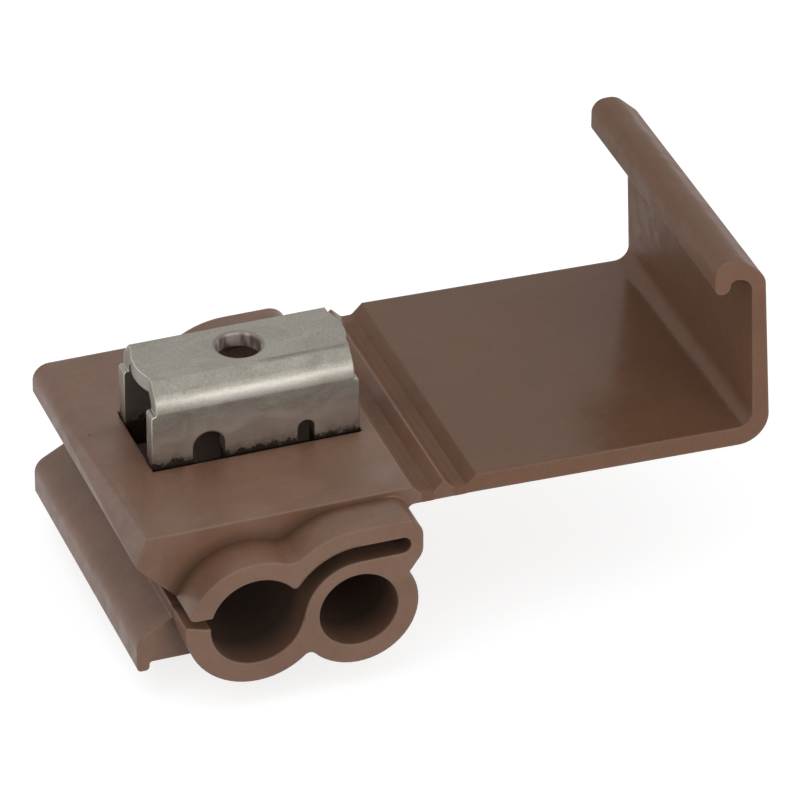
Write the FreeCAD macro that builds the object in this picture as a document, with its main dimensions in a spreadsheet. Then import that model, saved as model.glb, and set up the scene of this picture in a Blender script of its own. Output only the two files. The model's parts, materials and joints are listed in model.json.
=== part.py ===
"""Quick tap connector for joining a thin wire to the middle of a thicker one.

A moulded body has an open run channel, a blind tap bore, a lead-in flange and a
double living hinge to a cover with a hooked latch.  A stamped U contact stands
raised in its slot, ready to be pressed down over both wires.

Frame: X from the run channel towards the cover, Y along the wires, Z up.
The origin is on the run channel's axis, midway along the plate.
"""
import FreeCAD, Part
import math
import os
import re
import Sketcher

V = FreeCAD.Vector

# Driving sizes in millimetres and degrees.  Words ending in _across are places
# along X from the run channel's axis, and words ending in _height are along Z.
SIZES = {
    # Body plate and tubes
    "plate_width": 16.35,
    "near_reach": 2.18,
    "far_reach": 1.58,
    "plate_height": 4.42,
    "plate_corner_across": 4.72,
    "lead_in_taper": 1.50,
    "nose_across": 5.32,
    "nose_height": 2.88,
    "nose_foot_across": 3.20,
    "nose_foot_height": 0.70,
    "nose_crown_round": 0.85,
    "nose_round": 0.30,
    "nose_foot_round": 0.45,
    # Run channel
    "run_radius": 2.35,
    "run_shell_radius": 3.60,
    "run_shell_lift": 0.20,
    "arch_radius": 3.50,
    "arch_drop": 0.20,
    # Tap bore
    "tap_across": 5.125,
    "tap_drop": 0.474,
    "tap_radius": 2.00,
    "tap_wall": 1.03,
    "tap_stop": 1.20,
    "valley_round": 0.80,
    "keel_round": 0.35,
    # Slit between the jaws
    "slit_floor_radius": 2.72,
    "slit_gap": 0.90,
    "slit_end_across": 7.33,
    "cusp_round": 0.25,
    "jaw_wall": 0.95,
    "spine_wall": 0.61,
    "spine_round": 1.00,
    "spine_foot_height": 2.10,
    "spine_notch_across": 7.72,
    "spine_notch_height": 1.15,
    "spine_heel": 0.30,
    # Lower lip and lead-in flange
    "lip_height": 0.12,
    "lip_rise": 0.30,
    "lip_flat": 1.00,
    "funnel_start": 0.35,
    "funnel_slope": 28.7,
    "funnel_round": 0.90,
    "flange_reach": 5.36,
    "flange_depth": 2.65,
    "catch_depth": 3.12,
    "catch_thickness": 0.62,
    "catch_round": 0.22,
    "flange_round": 0.15,
    # Double living hinge
    "strap": 1.00,
    "web": 0.42,
    "fold_gap": 0.04,
    "lid_gap": 0.06,
    "first_fold_across": 9.43,
    "strap_round": 0.35,
    "ridge_round": 0.08,
    # Cover, latch wall and hook
    "lid_slope": 1.50,
    "latch_gap": 0.06,
    "wall_lean": 0.30,
    "wall_root": 0.93,
    "wall_tip": 0.71,
    "wall_root_round": 0.75,
    "wall_heel_round": 1.50,
    "latch_grip": 0.12,
    "hook_play": 0.42,
    "hook_thickness": 0.80,
    "hook_drop": 1.84,
    "hook_crown": 1.16,
    "hook_crest": 1.29,
    "hook_round": 0.70,
    "hook_tip_round": 0.38,
    "hollow_round": 0.28,
    "hollow_wall_round": 0.75,
    "hook_fall": 43.0,
    "hook_shoulder_round": 1.00,
    # Contact clip
    "clip_across": 2.66,
    "clip_length": 10.55,
    "clip_width": 5.10,
    "clip_height": 6.50,
    "clip_rise": 4.45,
    "sheet": 0.80,
    "clip_flat": 3.52,
    "facet_slope": 50.0,
    "facet_bend": 1.40,
    "shoulder_drop": 1.52,
    "shoulder_relief": 0.25,
    "cutoff_bulge": 0.28,
    "cutoff_width": 2.70,
    "run_notch": 1.62,
    "run_notch_drop": 2.92,
    "run_notch_bias": 0.26,
    "tap_notch": 0.86,
    "tap_notch_drop": 3.35,
    "tap_notch_bias": 0.08,
    "notch_mouth": 0.40,
    "hole_diameter": 2.20,
    "hole_round": 0.18,
    "leg_taper_height": 2.00,
    "leg_taper_width": 1.10,
    "leg_corner_round": 0.18,
    # Clearances between the contact and its slot
    "slot_side_gap": 0.26,
    "slot_end_gap": 0.06,
    "leg_gap": 0.10,
    "island_gap": 0.16,
    "island_depth": 1.00,
    # How far merged solids run into each other, and how far cuts run past
    "merge": 0.20,
    "cut_past": 1.00,
}

# Worked-out places, written once and used by more than one sub-part.
TUBE_LENGTH = "(plate_width + near_reach + far_reach)"
TUBE_SHIFT = "((near_reach - far_reach) / 2)"
STRAP_HEIGHT = "(plate_height - strap)"
WEB_HEIGHT = "(plate_height - strap + web)"
FOLD_HEIGHT = "(plate_height - strap + web / 2)"
FOLD_RISE = "(strap - web / 2)"
FOLD_SPACING = f"(2 * {FOLD_RISE} + lid_gap)"
SECOND_FOLD = f"(first_fold_across + {FOLD_SPACING})"
WEB_END = "(web / 2 + fold_gap)"

# With both folds at 90 degrees a place on the cover lands on the body's side at
# CLOSED_ACROSS less its own across, and CLOSED_HEIGHT less its own height.
CLOSED_ACROSS = f"(first_fold_across + {SECOND_FOLD})"
CLOSED_HEIGHT = f"(2 * {FOLD_HEIGHT} + {FOLD_SPACING})"
WALL_TOP = f"({CLOSED_ACROSS} + flange_reach + latch_gap)"
WALL_FOOT = f"({WALL_TOP} + wall_lean)"
HOOK_ACROSS = f"({WALL_TOP} - latch_gap - catch_thickness - hook_play - hook_thickness)"
HOOK_TIP = f"({CLOSED_HEIGHT} + catch_depth - latch_grip)"
HOOK_HEIGHT = f"({HOOK_TIP} + hook_drop)"
HOLLOW_HEIGHT = f"({HOOK_HEIGHT} - hook_crown)"

SLIT_ROOF_RADIUS = "(slit_floor_radius + slit_gap)"
SHOULDER_RADIUS = f"({SLIT_ROOF_RADIUS} + jaw_wall)"
SPINE_ACROSS = "(slit_end_across + slit_gap / 2 + spine_wall)"
CLIP_START = "(clip_across - clip_length / 2)"
CLIP_END = "(clip_across + clip_length / 2)"
FACET_SIDE = "((clip_width - clip_flat) / 2)"
FACET_FALL = f"({FACET_SIDE} * tan(facet_slope * 1deg))"
INNER_FLAT = "(clip_flat - 2 * sheet * tan(facet_slope * 0.5deg))"
INNER_WIDTH = "(clip_width - 2 * sheet)"
INNER_FALL = f"(({INNER_WIDTH} - {INNER_FLAT}) / 2 * tan(facet_slope * 1deg))"

doc = FreeCAD.newDocument("quick_tap_connector")
sheet = doc.addObject("Spreadsheet::Sheet", "Sizes")
for row, (word, value) in enumerate(SIZES.items(), start=1):
    sheet.set(f"A{row}", word)
    sheet.set(f"B{row}", str(value))
    sheet.setAlias(f"B{row}", word)
doc.recompute()


def bound(text):
    """Turn plain size words into references to the sheet."""
    return re.sub(r"[a-z_]+", lambda m: f"Sizes.{m.group()}" if m.group() in SIZES else m.group(), text)


def worth(text):
    """The present value of an expression written in size words."""
    return float(sheet.evalExpression(bound(text)))


def plane_of(body, role):
    return [feature for feature in body.Origin.OriginFeatures if feature.Role == role][0]


def new_body(name):
    body = doc.addObject("PartDesign::Body", name)
    body.Label = name
    return body


def new_sketch(body, name, role="XZ_Plane", offset=None):
    """A sketch on one of the body's own planes, moved along the plane's normal."""
    sketch = body.newObject("Sketcher::SketchObject", name)
    sketch.AttachmentSupport = [(plane_of(body, role), "")]
    sketch.MapMode = "FlatFace"
    if offset is not None:
        sketch.setExpression("AttachmentOffset.Base.z", bound(offset))
    return sketch


def hold(sketch, kind, *args, size=None):
    """Add a constraint, and tie its value to the sheet when a size is given."""
    if size is None:
        return sketch.addConstraint(Sketcher.Constraint(kind, *args))
    index = sketch.addConstraint(Sketcher.Constraint(kind, *args, worth(size)))
    sketch.setExpression(f"Constraints[{index}]", bound(size))
    return index


def pin_point(sketch, shape, end, across, up):
    """Tie one point of a sketch to its two places."""
    hold(sketch, "DistanceX", -1, 1, shape, end, size=across)
    hold(sketch, "DistanceY", -1, 1, shape, end, size=up)


def circle(sketch, across, up, radius):
    shape = sketch.addGeometry(Part.Circle(V(worth(across), worth(up), 0), V(0, 0, 1), worth(radius)))
    hold(sketch, "Radius", shape, size=radius)
    pin_point(sketch, shape, 3, across, up)


def arc_between(first, last, centre, turn):
    """An arc about a centre from one point to another, turning left (1) or right (-1)."""
    start, end = (first, last) if turn > 0 else (last, first)
    radius = (first - centre).Length
    start_angle = math.atan2(start.y - centre.y, start.x - centre.x)
    end_angle = math.atan2(end.y - centre.y, end.x - centre.x)
    return Part.ArcOfCircle(Part.Circle(centre, V(0, 0, 1), radius), start_angle, end_angle)


def loop(sketch, corners, arcs=None):
    """A closed outline through corners given as two expressions each.

    arcs maps the number of a side to (centre across, centre up, turn).
    """
    arcs = arcs or {}
    points = [V(worth(across), worth(up), 0) for across, up in corners]
    ends = []
    for number, point in enumerate(points):
        following = points[(number + 1) % len(points)]
        if number in arcs:
            across, up, turn = arcs[number]
            centre = V(worth(across), worth(up), 0)
            shape = sketch.addGeometry(arc_between(point, following, centre, turn))
            ends.append((shape, 1, 2) if turn > 0 else (shape, 2, 1))
        else:
            shape = sketch.addGeometry(Part.LineSegment(point, following))
            ends.append((shape, 1, 2))
    for number, (shape, start, end) in enumerate(ends):
        following, following_start, _ = ends[(number + 1) % len(ends)]
        hold(sketch, "Coincident", shape, end, following, following_start)
    for (shape, start, _), (across, up) in zip(ends, corners):
        pin_point(sketch, shape, start, across, up)
    for number, (across, up, _) in arcs.items():
        chord = points[(number + 1) % len(points)] - points[number]
        if abs(chord.x) > abs(chord.y):
            hold(sketch, "DistanceY", -1, 1, ends[number][0], 3, size=up)
        else:
            hold(sketch, "DistanceX", -1, 1, ends[number][0], 3, size=across)


def pad(body, sketch, name, length=None, symmetric=True):
    feature = body.newObject("PartDesign::Pad", name)
    feature.Profile = sketch
    if symmetric:
        feature.SideType = "Symmetric"
    feature.setExpression("Length", bound(length))
    return feature


def pocket(body, sketch, name, length=None, symmetric=False):
    """Cut a sketch: right through both ways, or a length against the sketch's normal."""
    feature = body.newObject("PartDesign::Pocket", name)
    feature.Profile = sketch
    if symmetric:
        feature.SideType = "Symmetric"
    if length is None:
        feature.Type = "ThroughAll"
    else:
        feature.setExpression("Length", bound(length))
    return feature


def edges_at(shape, spots, along, reach=0.02):
    """Names of the straight edges that run along an axis through any of the spots."""
    names = []
    axis = {"X": V(1, 0, 0), "Y": V(0, 1, 0), "Z": V(0, 0, 1)}[along]
    for number, edge in enumerate(shape.Edges, start=1):
        if len(edge.Vertexes) != 2:
            continue
        run = edge.Vertexes[1].Point - edge.Vertexes[0].Point
        if run.Length < 1e-6 or run.cross(axis).Length > 1e-4 * run.Length:
            continue
        middle = (edge.Vertexes[0].Point + edge.Vertexes[1].Point) * 0.5
        for spot in spots:
            aside = middle - spot
            aside = aside - axis * aside.dot(axis)
            if aside.Length < reach:
                names.append(f"Edge{number}")
                break
    return names


def spot(across, up):
    return V(worth(across), 0, worth(up))


def fillet(body, name, spots, radius, along="Y"):
    """Round the edges that run through the spots."""
    doc.recompute()
    base = body.Tip
    names = edges_at(base.Shape, spots, along)
    feature = body.newObject("PartDesign::Fillet", name)
    feature.Base = (base, names)
    feature.setExpression("Radius", bound(radius))
    return feature


def crossing(first, first_radius, second, second_radius, side):
    """Where two circles on the XZ plane cross, above (1) or below (-1) the line through them."""
    apart = second - first
    distance = apart.Length
    along = (worth(first_radius) ** 2 - worth(second_radius) ** 2 + distance ** 2) / (2 * distance)
    aside = side * math.sqrt(worth(first_radius) ** 2 - along ** 2)
    toward = apart / distance
    return first + toward * along + V(-toward.z, 0, toward.x) * aside


def segment(body, name, across, up, radius, chord_height, length, above, shift=None):
    """A pad of the part of a disc that lies above or below a level chord."""
    reach = f"sqrt(({radius}) ^ 2 - ({chord_height} - ({up})) ^ 2)"
    left = (f"{across} - {reach}", chord_height)
    right = (f"{across} + {reach}", chord_height)
    corners = [right, left] if above else [left, right]
    sketch = new_sketch(body, f"{name}_sketch", offset=shift)
    loop(sketch, corners, {0: (across, up, 1)})
    return pad(body, sketch, name, length)


def outline_pad(body, name, corners, length, arcs=None, shift=None):
    sketch = new_sketch(body, f"{name}_sketch", offset=shift)
    loop(sketch, corners, arcs)
    return pad(body, sketch, name, length)


def slit_sketch(body):
    """The gap between the jaws, from the run channel round the tap tube to its rounded end.

    Its floor leaves the run channel on a common tangent, so the thin wall of the
    tap tube is one smooth S.
    """
    sketch = new_sketch(body, "slit_sketch")
    centres = "sqrt(tap_across ^ 2 + tap_drop ^ 2)"
    lean = f"(acos((run_radius + slit_floor_radius) / {centres}) + atan(tap_drop / tap_across))"
    roof = f"(-tap_drop + {SLIT_ROOF_RADIUS})"
    floor = "(-tap_drop + slit_floor_radius)"
    start = "(run_radius / 2)"
    loop(sketch, [
        (f"tap_across - sqrt({SLIT_ROOF_RADIUS} ^ 2 - ({start} + tap_drop) ^ 2)", start),
        ("tap_across", roof),
        ("slit_end_across", roof),
        ("slit_end_across", floor),
        ("tap_across", floor),
        (f"tap_across - slit_floor_radius * cos({lean})", f"-tap_drop + slit_floor_radius * sin({lean})"),
        (f"run_radius * cos({lean})", f"-run_radius * sin({lean})"),
    ], {
        0: ("tap_across", "-tap_drop", -1),
        2: ("slit_end_across", "-tap_drop + slit_floor_radius + slit_gap / 2", -1),
        4: ("tap_across", "-tap_drop", 1),
    })
    return sketch


def make_connector_body():
    """Plate, both jaws, the two tubes and the flange, moulded as one piece."""
    body = new_body("connector_body")
    nose_foot = ("-nose_foot_across", "nose_foot_height")
    tap_top = f"(-tap_drop + {SHOULDER_RADIUS})"
    tap_axis = spot("tap_across", "-tap_drop")

    # Lower jaw: the trough of the run channel with its lip, and the tap tube.
    lip_outer = "(lip_height + lip_rise)"
    shell_reach = f"sqrt(run_shell_radius ^ 2 - ({lip_outer} - run_shell_lift) ^ 2)"
    outline_pad(body, "run_trough", [
        (f"-{shell_reach}", lip_outer),
        (shell_reach, lip_outer),
        ("0", "lip_height"),
        ("-run_radius - merge", "lip_height"),
    ], TUBE_LENGTH, {0: ("0", "run_shell_lift", 1)}, TUBE_SHIFT)
    tube = new_sketch(body, "tap_tube_sketch", offset=TUBE_SHIFT)
    circle(tube, "tap_across", "-tap_drop", "tap_radius + tap_wall")
    pad(body, tube, "tap_tube", TUBE_LENGTH)
    keel = crossing(spot("0", "run_shell_lift"), "run_shell_radius", tap_axis, "tap_radius + tap_wall", -1)
    fillet(body, "keel_rounding", [keel], "keel_round")

    # Upper jaw: an arch over the run channel, a shoulder round the tap tube, and
    # the thin spine that the jaw flexes on.
    segment(body, "run_arch", "0", "-arch_drop", "arch_radius", "nose_foot_height", TUBE_LENGTH, True, TUBE_SHIFT)
    shoulder_foot = f"(tap_across - sqrt({SHOULDER_RADIUS} ^ 2 - (nose_foot_height + tap_drop) ^ 2))"
    outline_pad(body, "tap_shoulder", [
        ("tap_across", tap_top),
        (shoulder_foot, "nose_foot_height"),
        ("tap_across", "nose_foot_height"),
    ], TUBE_LENGTH, {0: ("tap_across", "-tap_drop", 1)}, TUBE_SHIFT)
    outline_pad(body, "spine", [
        ("tap_across", tap_top),
        ("tap_across", "-tap_drop"),
        ("tap_across + tap_radius", "-tap_drop"),
        ("spine_notch_across", "spine_notch_height"),
        (SPINE_ACROSS, "spine_foot_height"),
        (SPINE_ACROSS, tap_top),
    ], TUBE_LENGTH, None, TUBE_SHIFT)
    fillet(body, "spine_rounding", [
        spot(SPINE_ACROSS, tap_top),
        spot(SPINE_ACROSS, "spine_foot_height"),
    ], "spine_round")
    valley = crossing(spot("0", "-arch_drop"), "arch_radius", tap_axis, SHOULDER_RADIUS, 1)
    fillet(body, "valley_rounding", [valley], "valley_round")

    # Plate with the lead-in nose, the housing beside the contact's slot, and the
    # strap that runs to the first fold.
    outline_pad(body, "plate", [
        ("-nose_across", "plate_height"),
        ("-nose_across", "nose_height"),
        nose_foot,
        ("tap_across", "nose_foot_height"),
        ("tap_across", "-tap_drop - tap_radius / 2"),
        ("tap_across + tap_radius", "-tap_drop - tap_radius / 2"),
        (SPINE_ACROSS, "-tap_drop + spine_heel"),
        (SPINE_ACROSS, f"{STRAP_HEIGHT} - strap_round"),
        (f"{SPINE_ACROSS} + strap_round", STRAP_HEIGHT),
        (f"first_fold_across - {WEB_END}", STRAP_HEIGHT),
        (f"first_fold_across - {WEB_END}", WEB_HEIGHT),
        (f"first_fold_across - {FOLD_RISE} - fold_gap", "plate_height"),
    ], "plate_width", {7: (f"{SPINE_ACROSS} + strap_round", f"{STRAP_HEIGHT} - strap_round", -1)})

    # Mouth between the jaws: it trims the arch back to the lead-in face.
    mouth_steep = "((nose_height - nose_foot_height) / (nose_across - nose_foot_across))"
    outline_cut = new_sketch(body, "mouth_sketch")
    loop(outline_cut, [
        ("-nose_across - cut_past", f"nose_height + cut_past * {mouth_steep}"),
        ("-nose_across - cut_past", lip_outer),
        ("-run_radius - merge - lip_flat", lip_outer),
        ("-run_radius - merge", "lip_height"),
        ("-run_radius / 2", "lip_height"),
        ("-run_radius / 2", "nose_foot_height"),
        nose_foot,
    ])
    pocket(body, outline_cut, "mouth", symmetric=True)
    fillet(body, "nose_crown_rounding", [spot("-nose_across", "plate_height")], "nose_crown_round")
    fillet(body, "nose_rounding", [spot("-nose_across", "nose_height")], "nose_round")
    fillet(body, "nose_foot_rounding", [spot(*nose_foot)], "nose_foot_round")

    # Lead-in face over the nose, wide at the near end and running out at the far end.
    lead_lean = "((nose_across - plate_corner_across) / (plate_height - nose_height))"
    lead_in = new_sketch(body, "lead_in_sketch", offset="plate_width / 2")
    loop(lead_in, [
        (f"-nose_across - cut_past * {lead_lean}", "nose_height - cut_past"),
        (f"-plate_corner_across + cut_past * {lead_lean}", "plate_height + cut_past"),
        ("-nose_across - 2 * cut_past", "plate_height + cut_past"),
    ])
    lead_cut = pocket(body, lead_in, "lead_in", "plate_width")
    lead_cut.setExpression("TaperAngle", bound("-lead_in_taper"))

    # Flange: a funnel floor that rises to the lip, and the catch for the hook.
    funnel_top = "(-run_radius - funnel_start)"
    flange_top = "(lip_height - (flange_reach - run_radius - funnel_start) * tan(funnel_slope * 1deg))"
    outline_pad(body, "flange", [
        ("-flange_reach", flange_top),
        ("-flange_reach", "-catch_depth"),
        ("-flange_reach + catch_thickness", "-catch_depth"),
        ("-flange_reach + catch_thickness", "-flange_depth"),
        ("-run_radius + merge", "-flange_depth"),
        ("-run_radius + merge", "lip_height"),
        (funnel_top, "lip_height"),
    ], "plate_width")
    fillet(body, "funnel_rounding", [spot("-flange_reach", flange_top)], "funnel_round")
    fillet(body, "catch_rounding", [
        spot("-flange_reach", "-catch_depth"),
        spot("-flange_reach + catch_thickness", "-catch_depth"),
    ], "catch_round")
    fillet(body, "flange_rounding", [
        spot("-flange_reach + catch_thickness", "-flange_depth"),
    ], "flange_round")

    # Run channel, right through, and the slit that lets the jaws open.
    channel = new_sketch(body, "run_channel_sketch")
    circle(channel, "0", "0", "run_radius")
    pocket(body, channel, "run_channel", symmetric=True)
    pocket(body, slit_sketch(body), "slit", symmetric=True)
    cusp = crossing(spot("0", "0"), "run_radius", tap_axis, SLIT_ROOF_RADIUS, 1)
    fillet(body, "cusp_rounding", [cusp], "cusp_round")

    # Tap bore, blind: the tap wire goes in from the near end as far as the stop.
    bore = new_sketch(body, "tap_bore_sketch", offset="plate_width / 2 + near_reach")
    circle(bore, "tap_across", "-tap_drop", "tap_radius")
    pocket(body, bore, "tap_bore", f"{TUBE_LENGTH} - tap_stop")

    # Contact slot: a recess for its top, wide slots for its legs through the
    # upper jaw, with an island left between them, and close slots in the lower jaw.
    slot_start = f"({CLIP_START} - slot_end_gap)"
    slot_end = f"({CLIP_END} + slot_end_gap)"
    slot_side = "(clip_width / 2 + slot_side_gap)"
    island_side = f"({INNER_FLAT} / 2 - island_gap)"
    recess = new_sketch(body, "contact_recess_sketch", "XY_Plane", "plate_height")
    loop(recess, [
        (slot_start, f"-{slot_side}"),
        (slot_end, f"-{slot_side}"),
        (slot_end, slot_side),
        (slot_start, slot_side),
    ])
    pocket(body, recess, "contact_recess", "island_depth")
    wide = new_sketch(body, "jaw_slot_sketch", "XY_Plane", "plate_height")
    loop(wide, [
        (slot_start, f"-{slot_side}"),
        (slot_end, f"-{slot_side}"),
        (slot_end, f"-{island_side}"),
        (slot_start, f"-{island_side}"),
    ])
    jaw_slot = pocket(body, wide, "jaw_slot", "plate_height + tap_drop - slit_floor_radius")
    close = new_sketch(body, "leg_slot_sketch", offset="clip_width / 2 + leg_gap")
    leg_tip = "(plate_height - clip_height - leg_gap)"
    taper_start = "(plate_height - clip_height + leg_taper_height)"
    loop(close, [
        (slot_start, "plate_height"),
        (slot_start, taper_start),
        (f"{slot_start} + leg_taper_width", leg_tip),
        (f"{slot_end} - leg_taper_width", leg_tip),
        (slot_end, taper_start),
        (slot_end, "plate_height"),
    ])
    leg_slot = pocket(body, close, "leg_slot", "sheet + 2 * leg_gap")
    mirror = body.newObject("PartDesign::Mirrored", "far_slots")
    mirror.Originals = [jaw_slot, leg_slot]
    mirror.MirrorPlane = (plane_of(body, "XZ_Plane"), [""])
    body.Tip = mirror

    return body


def make_hinge_link():
    """The rib between the two folds, with half of each web."""
    link = new_body("hinge_link")
    middle = f"((first_fold_across + {SECOND_FOLD}) / 2)"
    outline_pad(link, "rib", [
        ("first_fold_across", STRAP_HEIGHT),
        (SECOND_FOLD, STRAP_HEIGHT),
        (SECOND_FOLD, WEB_HEIGHT),
        (f"{SECOND_FOLD} - {WEB_END}", WEB_HEIGHT),
        (middle, f"{FOLD_HEIGHT} + {FOLD_SPACING} / 2 - fold_gap"),
        (f"first_fold_across + {WEB_END}", WEB_HEIGHT),
        ("first_fold_across", WEB_HEIGHT),
    ], "plate_width")
    for name, place in (("near_web", "first_fold_across"), ("far_web", SECOND_FOLD)):
        sketch = new_sketch(link, f"{name}_sketch")
        circle(sketch, place, FOLD_HEIGHT, "web / 2")
        pad(link, sketch, name, "plate_width")
    fillet(link, "ridge_rounding", [
        spot(middle, f"{FOLD_HEIGHT} + {FOLD_SPACING} / 2 - fold_gap"),
    ], "ridge_round")
    return link


def make_latch_cover():
    """Cover plate with the latch wall and its curled hook."""
    cover = new_body("latch_cover")
    plate_start = f"({SECOND_FOLD} + {FOLD_RISE} + fold_gap)"
    wall_heel = f"({WALL_FOOT} + wall_root)"
    root_height = f"(plate_height - ({WALL_FOOT} - {plate_start}) * tan(lid_slope * 1deg))"
    heel_height = f"({STRAP_HEIGHT} - ({wall_heel} - {plate_start}) * tan(lid_slope * 1deg))"
    outer_top = f"({WALL_TOP} + wall_tip)"
    tip_inner = f"({HOOK_ACROSS} + hook_thickness)"
    crest_end = f"({HOOK_ACROSS} + hook_crest)"
    shoulder_height = f"({HOOK_HEIGHT} - ({outer_top} - {crest_end}) * tan(hook_fall * 1deg))"
    outline_pad(cover, "cover_profile", [
        (f"{SECOND_FOLD} + {WEB_END}", STRAP_HEIGHT),
        (plate_start, STRAP_HEIGHT),
        (wall_heel, heel_height),
        (outer_top, shoulder_height),
        (crest_end, HOOK_HEIGHT),
        (HOOK_ACROSS, HOOK_HEIGHT),
        (HOOK_ACROSS, HOOK_TIP),
        (tip_inner, HOOK_TIP),
        (tip_inner, HOLLOW_HEIGHT),
        (WALL_TOP, HOLLOW_HEIGHT),
        (WALL_FOOT, root_height),
        (plate_start, "plate_height"),
        (f"{SECOND_FOLD} + {WEB_END}", WEB_HEIGHT),
    ], "plate_width")
    fillet(cover, "heel_rounding", [spot(wall_heel, heel_height)], "wall_heel_round")
    fillet(cover, "root_rounding", [spot(WALL_FOOT, root_height)], "wall_root_round")
    fillet(cover, "shoulder_rounding", [
        spot(outer_top, shoulder_height),
        spot(crest_end, HOOK_HEIGHT),
    ], "hook_shoulder_round")
    fillet(cover, "crest_rounding", [spot(HOOK_ACROSS, HOOK_HEIGHT)], "hook_round")
    fillet(cover, "tip_rounding", [
        spot(HOOK_ACROSS, HOOK_TIP),
        spot(tip_inner, HOOK_TIP),
    ], "hook_tip_round")
    fillet(cover, "hollow_tip_rounding", [spot(tip_inner, HOLLOW_HEIGHT)], "hollow_round")
    fillet(cover, "hollow_wall_rounding", [spot(WALL_TOP, HOLLOW_HEIGHT)], "hollow_wall_round")
    return cover


def make_contact_clip():
    """Stamped U contact, drawn with its flat top at height zero about its own middle."""
    clip = new_body("contact_clip")
    half = "(clip_width / 2)"
    section = new_sketch(clip, "outer_section", "YZ_Plane")
    loop(section, [
        (f"-{half}", "-clip_height"),
        (half, "-clip_height"),
        (half, f"-{FACET_FALL}"),
        ("clip_flat / 2", "0"),
        ("-clip_flat / 2", "0"),
        (f"-{half}", f"-{FACET_FALL}"),
    ])
    pad(clip, section, "blank", "clip_length")
    inside = new_sketch(clip, "inner_section", "YZ_Plane")
    inner = f"({INNER_WIDTH} / 2)"
    loop(inside, [
        (f"-{inner}", "-clip_height - cut_past"),
        (inner, "-clip_height - cut_past"),
        (inner, f"-sheet - {INNER_FALL}"),
        (f"{INNER_FLAT} / 2", "-sheet"),
        (f"-{INNER_FLAT} / 2", "-sheet"),
        (f"-{inner}", f"-sheet - {INNER_FALL}"),
    ])
    pocket(clip, inside, "inside", symmetric=True)
    sides = [V(0, sign * worth(half), worth(f"-{FACET_FALL}")) for sign in (-1, 1)]
    fillet(clip, "outer_bend", sides, "facet_bend", "X")
    sides = [V(0, sign * worth(inner), worth(f"-sheet - {INNER_FALL}")) for sign in (-1, 1)]
    fillet(clip, "inner_bend", sides, "facet_bend - sheet", "X")

    # Relief at the bends: the top is a little shorter than the legs, apart from
    # the bulging end that each cut from the carrier strip leaves.
    for name, sign in (("near", "-"), ("far", "")):
        relief = new_sketch(clip, f"{name}_relief_sketch")
        edge = f"{sign}(clip_length / 2 - shoulder_relief)"
        beyond = f"{sign}(clip_length / 2 + cut_past)"
        loop(relief, [
            (edge, "-shoulder_drop"),
            (beyond, "-shoulder_drop"),
            (beyond, "cut_past"),
            (edge, "cut_past"),
        ])
        pocket(clip, relief, f"{name}_relief", symmetric=True)
        bulge = new_sketch(clip, f"{name}_cutoff_sketch", "XY_Plane")
        radius = "((cutoff_width ^ 2 / 4 + cutoff_bulge ^ 2) / (2 * cutoff_bulge))"
        centre = f"{sign}(clip_length / 2 - shoulder_relief + cutoff_bulge - {radius})"
        inward = f"{sign}(clip_length / 2 - shoulder_relief - merge)"
        loop(bulge, [
            (edge, "-cutoff_width / 2"),
            (edge, "cutoff_width / 2"),
            (inward, "cutoff_width / 2"),
            (inward, "-cutoff_width / 2"),
        ], {0: (centre, "0", 1 if sign == "" else -1)})
        tab = pad(clip, bulge, f"{name}_cutoff", "sheet", symmetric=False)
        tab.Reversed = True

    # One wide notch bites on the run wire, one narrow notch on the tap wire.
    notches = (
        ("run_notch_cut", "run_notch_bias - clip_across", "run_notch", "run_notch_drop"),
        ("tap_notch_cut", "tap_across + tap_notch_bias - clip_across", "tap_notch", "tap_notch_drop"),
    )
    for name, place, width, drop in notches:
        cut = new_sketch(clip, f"{name}_sketch")
        spring = f"(-{drop} - {width} / 2)"
        left = f"({place} - {width} / 2)"
        right = f"({place} + {width} / 2)"
        loop(cut, [
            (right, spring),
            (left, spring),
            (left, "-clip_height + notch_mouth"),
            (f"{left} - notch_mouth", "-clip_height"),
            (f"{left} - notch_mouth", "-clip_height - cut_past"),
            (f"{right} + notch_mouth", "-clip_height - cut_past"),
            (f"{right} + notch_mouth", "-clip_height"),
            (right, "-clip_height + notch_mouth"),
        ], {0: (place, spring, 1)})
        pocket(clip, cut, name, symmetric=True)

    # Tapered outer corners of the legs.
    for name, sign in (("near", "-"), ("far", "")):
        taper = new_sketch(clip, f"{name}_taper_sketch")
        loop(taper, [
            (f"{sign}(clip_length / 2)", "-clip_height + leg_taper_height"),
            (f"{sign}(clip_length / 2 - leg_taper_width)", "-clip_height"),
            (f"{sign}(clip_length / 2 - leg_taper_width)", "-clip_height - cut_past"),
            (f"{sign}(clip_length / 2 + cut_past)", "-clip_height - cut_past"),
            (f"{sign}(clip_length / 2 + cut_past)", "-clip_height + leg_taper_height"),
        ])
        pocket(clip, taper, f"{name}_taper", symmetric=True)

    hole = new_sketch(clip, "hole_sketch", "XY_Plane")
    circle(hole, "0", "0", "hole_diameter / 2")
    pocket(clip, hole, "hole", "2 * sheet")
    doc.recompute()
    pierced = clip.Tip
    rims = []
    for number, edge in enumerate(pierced.Shape.Edges, start=1):
        box = edge.BoundBox
        level = abs(box.ZMax) < 1e-6 and abs(box.ZMin) < 1e-6
        if level and abs(box.XLength - worth("hole_diameter")) < 1e-3:
            rims.append(f"Edge{number}")
    rim = clip.newObject("PartDesign::Fillet", "hole_rounding")
    rim.Base = (pierced, rims)
    rim.setExpression("Radius", bound("hole_round"))
    corners = [V(sign * worth("clip_length") / 2, 0, worth("-shoulder_drop")) for sign in (-1, 1)]
    fillet(clip, "leg_corner_rounding", corners, "leg_corner_round")

    clip.setExpression("Placement.Base.x", bound("clip_across"))
    clip.setExpression("Placement.Base.z", bound("plate_height + clip_rise"))
    return clip


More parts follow.
